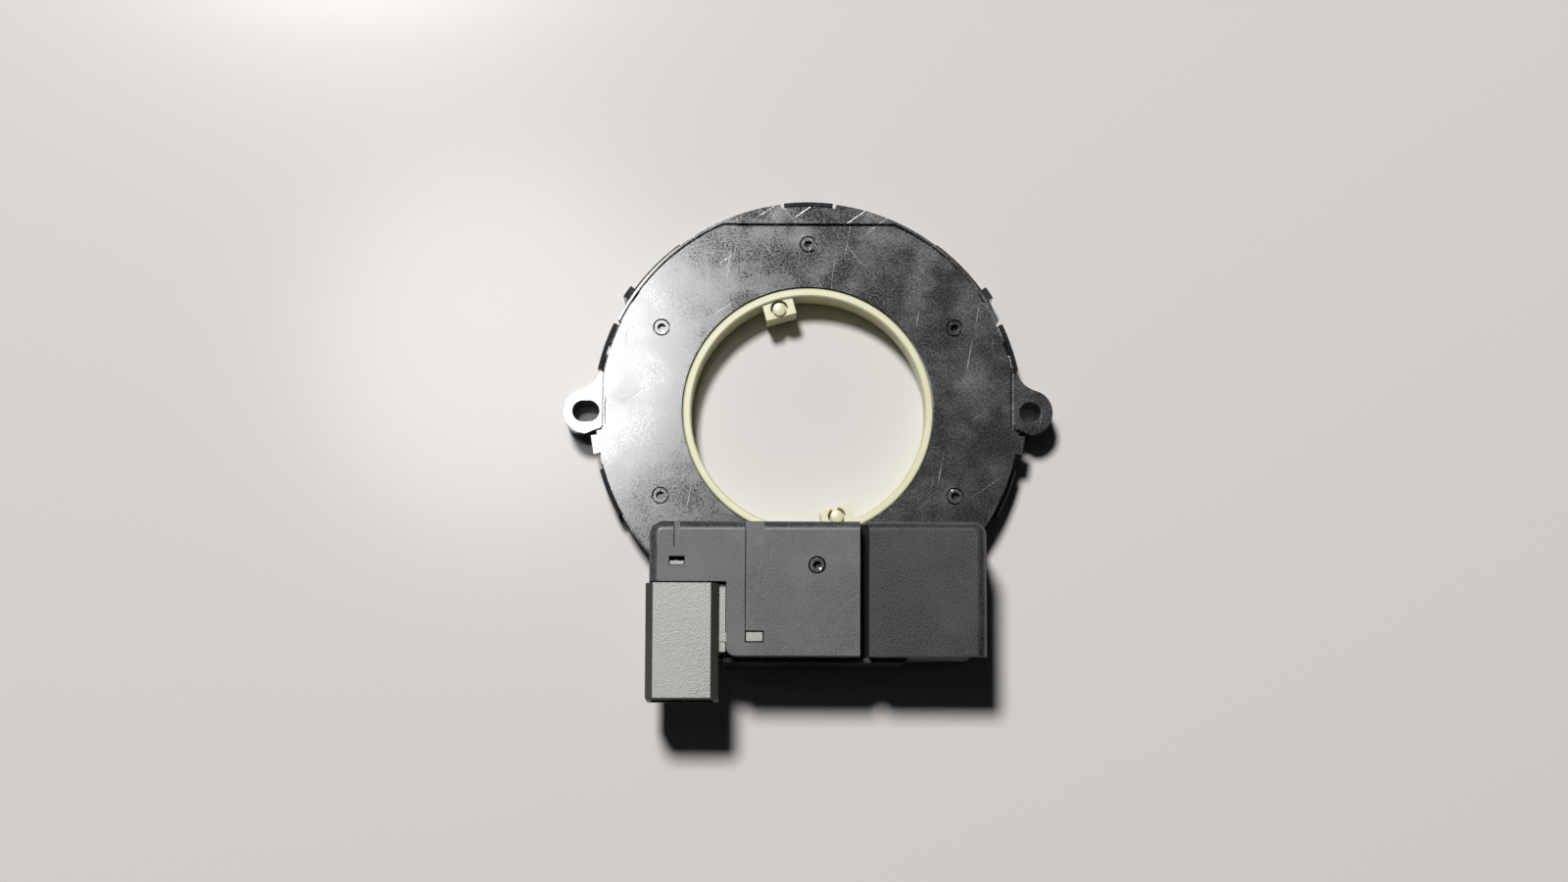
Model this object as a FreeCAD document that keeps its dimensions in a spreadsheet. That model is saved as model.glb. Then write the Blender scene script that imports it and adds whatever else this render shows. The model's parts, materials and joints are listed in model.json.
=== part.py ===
import FreeCAD, Part
import math
import os
import Sketcher
from FreeCAD import Placement, Rotation, Vector

# Steering angle sensor: a flat ring that sits behind the steering wheel, with a
# raised electronics box on one side. A nylon rotor turns with the column and
# drives two small magnet gears, which the chips on the circuit board read.
# The origin is on the rotor's axis in the rear plane, +Z towards the cover and
# +Y away from the electronics box. Sizes are millimetres and degrees.

SIZES = [
    # ring and its three shells
    ("case_r", 52.6, "outer radius of the case ring"),
    ("case_wall", 2.2, "wall of the case ring"),
    ("shell_wall", 1.6, "wall of the covers and of the box"),
    ("rim_top", 11.6, "height of the case rim and of the ears"),
    ("cover_top", 12.0, "height of the cover's ring face"),
    ("cover_r", 51.2, "radius of the cover in the upper half"),
    ("cover_low_r", 52.3, "radius of the cover in the lower half"),
    ("cover_flat_x", 50.1, "half width of the cover beside the ears"),
    ("cover_chord_y", 46.6, "straight top edge of the cover"),
    ("cover_step_y", -5.2, "where the cover widens below the ears"),
    ("tab_r", 54.0, "radius of the small tabs below the ears"),
    ("seam", 0.2, "assembly clearance between shells"),
    ("groove", 0.8, "width of the visible groove round the cover"),
    ("web_z", 7.0, "underside of the case web"),
    ("web_wall", 1.4, "thickness of the case web"),
    # mounting ears
    ("ear_x", 55.0, "ear hole from the axis"),
    ("ear_r", 5.6, "outer radius of an ear"),
    ("ear_blend", 7.0, "hollow radius that blends an ear into the ring"),
    ("ear_hole", 2.65, "radius of the ear holes"),
    ("slot_length", 6.7, "end to end length of the slotted hole"),
    # snap loops of the rear cover
    ("loop_in", 52.4, "inner radius of a loop's bar"),
    ("loop_out", 53.5, "outer radius of a loop"),
    ("loop_notch", 51.6, "radius to which the case is cut back at a loop"),
    ("loop_width", 12.4, "width of a loop"),
    ("loop_gap", 0.8, "free gap each side of a loop"),
    ("loop_top", 9.0, "height of a loop"),
    ("loop_slot", 3.8, "open width between the feet of a loop"),
    # stakes
    ("stake_pitch_r", 42.0, "radius of the ring of stakes"),
    ("stake_r", 1.8, "radius of a stake"),
    ("stake_bore", 1.0, "radius of the hollow in a stake"),
    ("stake_gap", 0.35, "radial gap of a stake in its hole"),
    ("pillar_x", 2.2, "stake of the box, across"),
    ("pillar_y", -39.8, "stake of the box, along"),
    # rotor
    ("rotor_r", 31.0, "outer radius of the rotor tube"),
    ("rotor_wall", 2.0, "wall of the rotor tube"),
    ("rotor_low", 0.3, "lower end of the rotor"),
    ("rotor_top", 11.7, "upper end of the rotor"),
    ("run_gap", 0.08, "running clearance of the rotor in its collars"),
    ("open_gap", 0.3, "gap between the rotor and the cover"),
    ("collar_wall", 1.5, "wall of the collars that carry the rotor"),
    ("lug_angle", 105.5, "direction of the first driving lug"),
    ("lug_in", 24.8, "inner radius of a driving lug"),
    ("lug_width", 7.7, "width of a driving lug"),
    ("lug_drop", 0.8, "lug top below the rotor's top"),
    ("lug_bore", 2.2, "radius of the recess in a lug"),
    ("lug_deep", 2.4, "depth of the recess in a lug"),
    # gears
    ("tooth_module", 1.0, "module of the gears"),
    ("gear_z", 2.5, "underside of the gears"),
    ("gear_face", 3.0, "face width of the gears"),
    ("backlash", 0.12, "backlash of a mesh at the pitch circle"),
    ("gear_a_angle", 255.0, "direction of the first magnet gear"),
    ("gear_b_angle", 286.0, "direction of the second magnet gear"),
    ("hub_r", 4.2, "radius of a gear's magnet hub"),
    ("hub_top", 6.6, "top of a gear's magnet hub"),
    ("pin_r", 1.5, "radius of a gear pin"),
    ("pin_gap", 0.05, "running clearance of a gear on its pin"),
    ("magnet_r", 3.0, "radius of a magnet"),
    ("magnet_deep", 2.0, "height of a magnet"),
    # electronics box
    ("box_left", -38.4, "left side of the box"),
    ("box_right", 43.2, "right side of the box"),
    ("box_front", -61.7, "front of the box, furthest from the ring's axis"),
    ("box_back", -29.0, "back of the box, over the ring"),
    ("box_top", 29.0, "height of the box"),
    ("box_roof", 1.8, "thickness of the box's roof"),
    ("box_corner", 3.3, "upright corner radius of the box"),
    ("box_edge", 2.4, "radius of the box's top edges"),
    ("split_x", 12.6, "left side of the groove across the box"),
    ("split_width", 2.2, "width of the groove across the box"),
    ("split_deep", 9.5, "depth of the groove across the box"),
    ("corner_cut_x", 4.6, "cut corner of the front wall, across"),
    ("corner_cut_y", 3.0, "cut corner of the front wall, along"),
    ("corner_cut_top", 26.4, "top of the cut corner"),
    ("lip_left", -20.3, "left end of the case's front lip"),
    ("lip_right", 24.3, "right end of the case's front lip"),
    ("lip_wall", 1.1, "thickness of the case's front lip"),
    ("lip_top", 22.0, "height of the case's front lip"),
    ("channel_x", -15.2, "left side of the latch channel"),
    ("channel_width", 4.6, "width of the latch channel"),
    ("channel_deep", 1.3, "depth of the latch channel"),
    ("channel_end", -55.6, "end of the latch channel"),
    ("channel_window", 3.0, "length of the latch window"),
    ("keyway_x", -32.5, "left side of the small channel"),
    ("keyway_width", 1.5, "width of the small channel"),
    ("keyway_end", -35.4, "end of the small channel"),
    ("eyelet_x", -33.6, "left side of the small window"),
    ("eyelet_width", 3.8, "width of the small window"),
    ("eyelet_y", -37.7, "back side of the small window"),
    ("eyelet_deep", 2.2, "length of the small window"),
    # connector
    ("socket_left", -39.2, "left side of the connector"),
    ("socket_right", -21.6, "right side of the connector"),
    ("socket_back", -44.2, "back of the connector"),
    ("socket_mouth", -72.4, "mouth of the connector"),
    ("socket_low", 16.0, "underside of the connector"),
    ("socket_top", 29.5, "top of the connector"),
    ("socket_wall", 1.3, "wall of the connector"),
    ("socket_bevel", 1.8, "bevel of the connector's top edges"),
    ("socket_inset", 1.9, "gap between the connector and the box's step"),
    ("socket_floor", -57.2, "floor of the socket"),
    ("flange_top", 26.3, "height of the connector's side flange"),
    ("block_inset", 2.0, "side inset of the connector's rear block"),
    ("terminal", 0.64, "thickness of a terminal"),
    ("terminal_pitch", 3.4, "spacing of the terminals across"),
    ("terminal_rows", 4.4, "spacing of the two rows of terminals"),
    ("terminal_tip", -66.6, "tip of the terminals in the socket"),
    ("terminal_foot", -40.3, "where the first row goes down to the board"),
    # circuit board
    ("board_z", 10.6, "underside of the board"),
    ("board_thick", 1.6, "thickness of the board"),
    ("board_back", -37.0, "back edge of the board"),
    ("board_gap", 0.5, "gap between the board and the walls"),
    ("boss_r", 2.6, "radius of a board boss"),
    ("boss_in", 3.8, "board boss from the walls"),
    ("boss_back_x", -19.4, "back left board boss, across"),
    ("screw_r", 1.2, "radius of a board screw"),
    ("screw_head_r", 2.2, "radius of a screw head"),
    ("screw_length", 4.4, "length of a screw's shank"),
    ("chip_length", 5.0, "length of a small chip"),
    ("chip_width", 4.0, "width of a small chip"),
    ("chip_thick", 1.3, "thickness of a chip"),
    ("lead", 0.4, "width of a chip's lead"),
    ("processor_width", 10.0, "side of the microcontroller"),
    ("can_r", 5.0, "radius of the buffer capacitor"),
    ("can_height", 11.0, "height of the buffer capacitor"),
    ("choke_width", 7.0, "side of the choke"),
    ("choke_height", 4.5, "height of the choke"),
    ("chip_part", 2.0, "length of a small capacitor or resistor"),
]

ROTOR_TEETH = 76
GEAR_A_TEETH = 16
GEAR_B_TEETH = 14
PRESSURE_ANGLE = 20.0
ADDENDUM = 0.8
DEDENDUM = 1.0
LOOP_ANGLES = (90.0, 18.5, 161.5, -22.0, -158.0)
STAKE_ANGLES = (90.0, 30.0, 150.0, 210.0, 330.0)
TERMINALS = 4

doc = FreeCAD.newDocument("steering_angle_sensor")
sheet = doc.addObject("Spreadsheet::Sheet", "sizes")


class Size:
    """A size with its value now and its formula in terms of the sheet."""

    def __init__(self, value, text=None):
        self.value = float(value)
        self.text = text if text else repr(float(value))

    def __add__(self, other):
        other = size(other)
        return Size(self.value + other.value, f"({self.text} + {other.text})")

    def __sub__(self, other):
        other = size(other)
        return Size(self.value - other.value, f"({self.text} - {other.text})")

    def __mul__(self, other):
        other = size(other)
        return Size(self.value * other.value, f"({self.text} * {other.text})")

    def __truediv__(self, other):
        other = size(other)
        return Size(self.value / other.value, f"({self.text} / {other.text})")

    def __radd__(self, other):
        return size(other) + self

    def __rsub__(self, other):
        return size(other) - self

    def __rmul__(self, other):
        return size(other) * self

    def __neg__(self):
        return Size(-self.value, f"(0 - {self.text})")


def size(value):
    """A plain number or a size, as a size."""
    return value if isinstance(value, Size) else Size(value)


def cosine(angle):
    angle = size(angle)
    return Size(math.cos(math.radians(angle.value)), f"cos({angle.text})")


def sine(angle):
    angle = size(angle)
    return Size(math.sin(math.radians(angle.value)), f"sin({angle.text})")


def root(value):
    return Size(math.sqrt(value.value), f"sqrt({value.text})")


class Sizes:
    """The sheet's sizes by name."""


v = Sizes()
for row, (alias, number, words) in enumerate(SIZES, start=1):
    sheet.set(f"A{row}", words)
    sheet.set(f"B{row}", str(number))
    sheet.setAlias(f"B{row}", alias)
    setattr(v, alias, Size(number, f"sizes.{alias}"))
doc.recompute()


def bind(thing, prop, value):
    """Ties a property of an object to a formula in the sheet."""
    thing.setExpression(prop, size(value).text)


def new_body(name):
    body = doc.addObject("PartDesign::Body", name)
    body.Label = name
    return body


def plane(body, role):
    return [f for f in body.Origin.OriginFeatures if f.Role == role][0]


def new_sketch(body, name, role, offset=0, turn=0):
    """A sketch on one of the body's own planes, moved along its normal and
    turned about the plane's upright axis."""
    sketch = body.newObject("Sketcher::SketchObject", name)
    sketch.AttachmentSupport = [(plane(body, role), "")]
    sketch.MapMode = "FlatFace"
    offset = size(offset)
    turn = size(turn)
    spin = Rotation(Vector(0, 1, 0), turn.value)
    sketch.AttachmentOffset = Placement(Vector(0, 0, offset.value), spin)
    bind(sketch, "AttachmentOffset.Base.z", offset)
    return sketch


def fix_point(sketch, index, place, x, y):
    """Holds a point of the sketch at a formula for each coordinate."""
    for kind, value in (("DistanceX", size(x)), ("DistanceY", size(y))):
        number = sketch.addConstraint(
            Sketcher.Constraint(kind, -1, 1, index, place, value.value))
        bind(sketch, f"Constraints[{number}]", value)


def add_outline(sketch, points):
    """Adds a closed outline. A point is (x, y), or (x, y, radius, side) when
    the stretch after it is an arc of that radius, with its centre on the left
    of the way for side 1 and on the right for side -1."""
    first = sketch.GeometryCount
    count = len(points)
    for i, point in enumerate(points):
        following = points[(i + 1) % count]
        a = Vector(size(point[0]).value, size(point[1]).value, 0)
        b = Vector(size(following[0]).value, size(following[1]).value, 0)
        if len(point) == 2:
            sketch.addGeometry(Part.LineSegment(a, b), False)
            continue
        radius = size(point[2]).value
        way = (b - a).normalize()
        half = (b - a).Length / 2
        left = Vector(-way.y, way.x, 0) * point[3]
        centre = (a + b) / 2 + left * math.sqrt(max(radius ** 2 - half ** 2, 0))
        middle = centre - left * radius
        sketch.addGeometry(Part.Arc(a, middle, b), False)
    for i, point in enumerate(points):
        index = first + i
        nxt = first + (i + 1) % count
        ends = arc_ends(sketch, index, point, len(point) > 2)
        after = arc_ends(sketch, nxt, points[(i + 1) % count],
                         len(points[(i + 1) % count]) > 2)
        sketch.addConstraint(
            Sketcher.Constraint("Coincident", index, ends[1], nxt, after[0]))
    for i, point in enumerate(points):
        index = first + i
        ends = arc_ends(sketch, index, point, len(point) > 2)
        fix_point(sketch, index, ends[0], point[0], point[1])
        if len(point) > 2:
            number = sketch.addConstraint(
                Sketcher.Constraint("Radius", index, size(point[2]).value))
            bind(sketch, f"Constraints[{number}]", point[2])


def arc_ends(sketch, index, point, is_arc):
    """Which of a stretch's point numbers is its start and which its end. An
    arc always runs anticlockwise, so one drawn clockwise has them swapped."""
    if not is_arc:
        return 1, 2
    start = sketch.getPoint(index, 1)
    near = (start - Vector(size(point[0]).value, size(point[1]).value, 0)).Length
    return (1, 2) if near < 1e-4 else (2, 1)


def add_circle(sketch, x, y, radius):
    x, y, radius = size(x), size(y), size(radius)
    centre = Vector(x.value, y.value, 0)
    circle = Part.Circle(centre, Vector(0, 0, 1), radius.value)
    index = sketch.addGeometry(circle, False)
    fix_point(sketch, index, 3, x, y)
    number = sketch.addConstraint(Sketcher.Constraint("Radius", index, radius.value))
    bind(sketch, f"Constraints[{number}]", radius)


def rectangle(x0, y0, x1, y1):
    return [(x0, y0), (x1, y0), (x1, y1), (x0, y1)]


def checked(body, feature, adds):
    """Recomputes and makes sure that the feature really changed the solid."""
    before = body.Shape.Volume if not body.Shape.isNull() else 0.0
    body.Tip = feature
    doc.recompute()
    after = body.Shape.Volume
    wrong = after <= before if adds else after >= before
    if wrong:
        raise RuntimeError(f"{feature.Name} changed nothing: {before} to {after}")
    return feature


def upright(body, name, low, high, outlines=(), circles=(), cut=False):
    """Pads or cuts outlines and circles between two heights."""
    sketch = new_sketch(body, name + "_sketch", "XY_Plane", low)
    for points in outlines:
        add_outline(sketch, points)
    for x, y, radius in circles:
        add_circle(sketch, x, y, radius)
    kind = "PartDesign::Pocket" if cut else "PartDesign::Pad"
    feature = body.newObject(kind, name)
    feature.Profile = sketch
    feature.Reversed = cut
    bind(feature, "Length", size(high) - low)
    return checked(body, feature, not cut)


def across(body, name, near, far, outlines, role="XZ_Plane", cut=False):
    """Pads or cuts outlines drawn in an upright plane. On the XZ plane they
    are (x, z) and the stretch runs along -Y, from y = -near to y = -far. On
    the YZ plane they are (y, z) and the stretch runs along +X."""
    sketch = new_sketch(body, name + "_sketch", role, near)
    for points in outlines:
        add_outline(sketch, points)
    kind = "PartDesign::Pocket" if cut else "PartDesign::Pad"
    feature = body.newObject(kind, name)
    feature.Profile = sketch
    feature.Reversed = cut
    bind(feature, "Length", size(far) - near)
    return checked(body, feature, not cut)


def turned(body, name, section, middle=None, sweep=360, cut=False):
    """Revolves a section of (radius, height) points about the rotor's axis,
    all round, or by an angle centred on a direction."""
    start = 0 if middle is None else size(middle) - size(sweep) / 2
    sketch = new_sketch(body, name + "_sketch", "XZ_Plane", 0, start)
    add_outline(sketch, section)
    kind = "PartDesign::Groove" if cut else "PartDesign::Revolution"
    feature = body.newObject(kind, name)
    feature.Profile = sketch
    feature.ReferenceAxis = (sketch, ["V_Axis"])
    bind(feature, "Angle", sweep)
    return checked(body, feature, not cut)


def rounded(body, name, radius, chosen):
    """Rounds the edges of the body for which chosen(edge) is true."""
    doc.recompute()
    base = body.Tip
    edges = [f"Edge{i + 1}" for i, e in enumerate(base.Shape.Edges) if chosen(e)]
    feature = body.newObject("PartDesign::Fillet", name)
    feature.Base = (base, edges)
    bind(feature, "Radius", radius)
    body.Tip = feature
    doc.recompute()
    return feature


def box(name, x, y, z, length, width, height, turn=0):
    """A block with its low corner at x, y, z, turned about that corner."""
    block = doc.addObject("Part::Box", name)
    bind(block, "Length", length)
    bind(block, "Width", width)
    bind(block, "Height", height)
    place(block, x, y, z, turn)
    return block


def cylinder(name, x, y, z, radius, height):
    rod = doc.addObject("Part::Cylinder", name)
    bind(rod, "Radius", radius)
    bind(rod, "Height", height)
    place(rod, x, y, z)
    return rod


def place(thing, x, y, z, turn=0):
    """Puts an object at a formula for each coordinate."""
    x, y, z, turn = size(x), size(y), size(z), size(turn)
    spin = Rotation(Vector(0, 0, 1), turn.value)
    thing.Placement = Placement(Vector(x.value, y.value, z.value), spin)
    bind(thing, "Placement.Base.x", x)
    bind(thing, "Placement.Base.y", y)
    bind(thing, "Placement.Base.z", z)


def joined(name, pieces):
    fuse = doc.addObject("Part::MultiFuse", name)
    fuse.Shapes = pieces
    fuse.Label = name
    return fuse


def grouped(name, pieces):
    group = doc.addObject("Part::Compound", name)
    group.Links = pieces
    group.Label = name
    return group


def less(name, base, tools):
    """One object with others taken away from it."""
    tool = tools[0] if len(tools) == 1 else joined(name + "_tools", tools)
    cut = doc.addObject("Part::Cut", name)
    cut.Base = base
    cut.Tool = tool
    cut.Label = name
    return cut


# Heights and edges that several pieces share
seat_z = v.cover_top - v.shell_wall
case_seat_z = seat_z - v.seam
case_in_r = v.case_r - v.case_wall
web_top = v.web_z + v.web_wall
inner_left = v.box_left + v.shell_wall
inner_right = v.box_right - v.shell_wall
inner_front = v.box_front + v.shell_wall
inner_back = v.box_back - v.shell_wall
box_ceiling = v.box_top - v.box_roof
bore_r = v.rotor_r + v.run_gap
board_top = v.board_z + v.board_thick
lip_front = v.box_front - v.seam / 2 - v.lip_wall
step_x = v.socket_right + v.socket_inset
step_y = v.socket_back + 0.4
step_z = v.socket_low - v.seam * 2
root_r = v.tooth_module * (ROTOR_TEETH / 2 - DEDENDUM)


def gear_centre(angle, teeth):
    """Where a magnet gear stands, from its direction and the centre distance."""
    reach = v.tooth_module * ((ROTOR_TEETH + teeth) / 2)
    return reach * cosine(angle), reach * sine(angle)


gear_a = gear_centre(v.gear_a_angle, GEAR_A_TEETH)
gear_b = gear_centre(v.gear_b_angle, GEAR_B_TEETH)
boss_places = [
    (inner_left + v.boss_in, inner_front + v.boss_in),
    (inner_right - v.boss_in, inner_front + v.boss_in),
    (v.boss_back_x, v.board_back - v.boss_in),
    (inner_right - v.boss_in, v.board_back - v.boss_in),
]


def stake_places():
    return [(v.stake_pitch_r * cosine(a), v.stake_pitch_r * sine(a)) for a in STAKE_ANGLES]


def loop_sweep(width):
    """The angle that a width takes at the loops' outer radius."""
    return size(width) * (180 / math.pi) / v.loop_out


def tray(grow=0):
    """The box's plan below the cover, larger by grow on the three free sides."""
    left = v.box_left - grow
    right = v.box_right + grow
    front = v.box_front - grow
    cut_x = right - v.corner_cut_x
    cut_y = front + v.corner_cut_y
    back = v.box_back
    return [(left, front), (cut_x, front), (right, cut_y), (right, back), (left, back)]


# Case: the frame between the two covers, with the ears and the stakes
case = new_body("main_case")
turned(case, "case_ring", [
    (case_in_r, 0), (v.case_r, 0), (v.case_r, case_seat_z), (case_in_r, case_seat_z)])
upright(case, "case_box", 0, case_seat_z, [tray()])
turned(case, "case_room", [
    (0, -1), (case_in_r, -1), (case_in_r, v.cover_top), (0, v.cover_top)], cut=True)
upright(case, "case_box_room", -1, v.cover_top,
        [[(inner_left, inner_front), (inner_right - v.corner_cut_x, inner_front),
          (inner_right, inner_front + v.corner_cut_y), (inner_right, v.box_back),
          (inner_left, v.box_back)]], cut=True)
turned(case, "case_web", [
    (bore_r - 1, v.web_z), (case_in_r + 1, v.web_z), (case_in_r + 1, web_top),
    (bore_r - 1, web_top)])
upright(case, "case_box_web", v.web_z, web_top, [tray(-v.shell_wall / 2)])
turned(case, "case_collar", [
    (bore_r - 1, v.web_z), (bore_r + v.collar_wall, v.web_z),
    (bore_r + v.collar_wall, seat_z - v.open_gap), (bore_r - 1, seat_z - v.open_gap)])
turned(case, "case_bore", [
    (0, -1), (bore_r, -1), (bore_r, v.cover_top), (0, v.cover_top)], cut=True)

# Rim round the upper half, and the crescent beyond the cover's straight edge
rim_in_r = v.cover_r + v.groove
turned(case, "case_rim", [
    (rim_in_r, 0), (v.case_r, 0), (v.case_r, v.rim_top), (rim_in_r, v.rim_top)],
    middle=90, sweep=188)
crescent_y = v.cover_chord_y + v.groove
crescent_x = root(v.case_r * v.case_r - crescent_y * crescent_y)
plate_room = v.shell_wall + v.seam
upright(case, "crescent", plate_room, v.rim_top, [
    [(crescent_x, crescent_y, v.case_r, 1), (-crescent_x, crescent_y)]])
core_r = case_in_r - 0.4
core_y = crescent_y + v.shell_wall
core_x = root(core_r * core_r - core_y * core_y)
upright(case, "crescent_core", -1, v.rim_top - v.shell_wall, [
    [(core_x, core_y, core_r, 1), (-core_x, core_y)]], cut=True)
for side in (-1, 1):
    rib_x = side * core_x * 0.45
    word = "left" if side < 0 else "right"
    upright(case, f"crescent_rib_{word}", plate_room, v.rim_top - 1, [
        rectangle(rib_x - 0.6, crescent_y + 0.4, rib_x + 0.6, core_r - 0.6)])


def ear_outline(side):
    """Plan of an ear with the hollow blend into the ring, on side 1 or -1."""
    reach = v.case_r + v.ear_blend
    arm = v.ear_r + v.ear_blend
    hollow_x = (reach * reach - arm * arm + v.ear_x * v.ear_x) / (2 * v.ear_x)
    hollow_y = root(reach * reach - hollow_x * hollow_x)
    ear_share = v.ear_r / arm
    ring_share = v.case_r / reach
    flat_x = v.cover_flat_x + v.groove
    flat_top = root(rim_in_r * rim_in_r - flat_x * flat_x)
    under = v.cover_step_y + v.groove
    nook = 1.2
    return [
        (side * flat_x, under + nook, nook, side),
        (side * (flat_x + nook), under),
        (side * v.ear_x, -v.ear_r, v.ear_r, side),
        (side * (v.ear_x + v.ear_r), 0, v.ear_r, side),
        (side * (v.ear_x + (hollow_x - v.ear_x) * ear_share), hollow_y * ear_share,
         v.ear_blend, -side),
        (side * hollow_x * ring_share, hollow_y * ring_share),
        (side * flat_x, flat_top),
    ]


upright(case, "right_ear", 0, v.rim_top, [ear_outline(1)])
upright(case, "left_ear", 0, v.rim_top, [ear_outline(-1)])
upright(case, "right_ear_hole", -1, v.cover_top, circles=[(v.ear_x, 0, v.ear_hole)], cut=True)
slot_half = v.slot_length / 2 - v.ear_hole
slot_in = -v.ear_x + slot_half
slot_out = -v.ear_x - slot_half
hole = v.ear_hole
upright(case, "left_ear_slot", -1, v.cover_top, [
    [(slot_out, -hole), (slot_in, -hole, hole, 1), (slot_in + hole, 0, hole, 1),
     (slot_in, hole), (slot_out, hole, hole, 1), (slot_out - hole, 0, hole, 1)]], cut=True)

# Thickened stretches and stop ribs on the outside of the ring
for side, middle in (("right", 42.5), ("left", 137.5)):
    turned(case, f"{side}_thickening", [
        (v.case_r - 1, 0), (v.case_r + 0.8, 0), (v.case_r + 0.8, 8.6), (v.case_r - 1, 9.4)],
        middle=middle, sweep=21)
for side, middle in (("right", 34), ("left", 146)):
    turned(case, f"{side}_stop_rib", [
        (v.case_r - 1, 0), (v.case_r + 1.9, 0), (v.case_r + 1.9, 9.6), (v.case_r - 1, 10.4)],
        middle=middle, sweep=3.4)

# Cut-backs for the rear cover's snap loops, with the catch of the top loop
loop_room = loop_sweep(v.loop_width + v.loop_gap * 2)
far_r = v.case_r + 6
for i, angle in enumerate(LOOP_ANGLES):
    turned(case, f"loop_notch_{i}", [
        (v.loop_notch, -1), (far_r, -1), (far_r, v.cover_top + 1), (v.loop_notch, v.cover_top + 1)],
        middle=angle, sweep=loop_room, cut=True)
    turned(case, f"loop_door_{i}", [
        (case_in_r - 0.6, -1), (far_r, -1), (far_r, plate_room),
        (case_in_r - 0.6, plate_room)],
        middle=angle, sweep=loop_room, cut=True)
turned(case, "loop_catch", [
    (v.loop_notch - 0.6, 3.0), (v.loop_in + 0.4, 6.0), (v.loop_in + 0.4, 7.0),
    (v.loop_notch - 0.6, 7.0)], middle=LOOP_ANGLES[0], sweep=loop_sweep(v.loop_slot - 1))

# Front lip that overlaps the cover's front wall
lip_back = lip_front + v.lip_wall
upright(case, "lip_foot", 0, case_seat_z, [
    [(v.lip_left, lip_front), (v.lip_right - 1.2, lip_front), (v.lip_right, lip_back),
     (v.lip_right, v.box_front + 1), (v.lip_left, v.box_front + 1)]])
upright(case, "lip", 0, v.lip_top, [
    [(v.lip_left, lip_front), (v.lip_right - 1.2, lip_front), (v.lip_right, lip_back),
     (v.lip_left, lip_back)]])

# Hollow stakes and the bosses that carry the board
stake_top = v.cover_top - 0.15
pillar_top = v.box_top - 0.15
upright(case, "stakes", web_top - 0.5, stake_top,
        circles=[(x, y, v.stake_r) for x, y in stake_places()])
upright(case, "pillar", web_top - 0.5, pillar_top,
        circles=[(v.pillar_x, v.pillar_y, v.stake_r)])
upright(case, "stake_hollows", stake_top - 2.4, stake_top + 1,
        circles=[(x, y, v.stake_bore) for x, y in stake_places()], cut=True)
upright(case, "pillar_hollow", pillar_top - 3, pillar_top + 1,
        circles=[(v.pillar_x, v.pillar_y, v.stake_bore)], cut=True)
upright(case, "board_bosses", web_top - 0.5, v.board_z,
        circles=[(x, y, v.boss_r) for x, y in boss_places])
upright(case, "screw_holes", board_top - v.screw_length - 0.2, v.board_z + 1,
        circles=[(x, y, v.screw_r) for x, y in boss_places], cut=True)

# Rear cover: thin plate with the lower collar, the gear pins and the snap loops
rear = new_body("rear_cover")
plate_r = case_in_r - v.seam
turned(rear, "rear_plate", [
    (bore_r - 1, 0), (plate_r, 0), (plate_r, v.shell_wall), (bore_r - 1, v.shell_wall)])
upright(rear, "rear_box_plate", 0, v.shell_wall, [tray(-v.shell_wall - v.seam)])
turned(rear, "rear_collar", [
    (bore_r - 1, 0), (bore_r + v.collar_wall, 0),
    (bore_r + v.collar_wall, v.gear_z - v.open_gap), (bore_r - 1, v.gear_z - v.open_gap)])
turned(rear, "rear_bore", [
    (0, -1), (bore_r, -1), (bore_r, v.gear_z), (0, v.gear_z)], cut=True)
upright(rear, "gear_shoulders", 0, v.gear_z - v.open_gap / 2,
        circles=[(x, y, v.pin_r + 1) for x, y in (gear_a, gear_b)])
upright(rear, "gear_pins", 0, v.hub_top - v.magnet_deep - 0.8,
        circles=[(x, y, v.pin_r) for x, y in (gear_a, gear_b)])
turned(rear, "rear_relief", [
    (v.case_r - 14, -1), (v.case_r - 5, -1), (v.case_r - 5, 0.4), (v.case_r - 14, 0.4)],
    middle=90, sweep=200, cut=True)
foot_width = (v.loop_width - v.loop_slot) / 2
for i, angle in enumerate(LOOP_ANGLES):
    for end in (-1, 1):
        foot_middle = angle + end * loop_sweep(v.loop_slot + foot_width) / 2
        turned(rear, f"loop_foot_{i}_{'low' if end < 0 else 'high'}", [
            (plate_r - 1, 0), (v.loop_out, 0), (v.loop_out, v.loop_top - 1.2),
            (v.loop_notch + v.seam, v.loop_top - 1.2), (v.loop_notch + v.seam, v.shell_wall),
            (plate_r - 1, v.shell_wall)], middle=foot_middle, sweep=loop_sweep(foot_width))
    turned(rear, f"loop_bar_{i}", [
        (v.loop_in, v.loop_top - 1.8), (v.loop_out, v.loop_top - 1.8),
        (v.loop_out, v.loop_top - 0.8), (v.loop_in, v.loop_top)],
        middle=angle, sweep=loop_sweep(v.loop_width))

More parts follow.
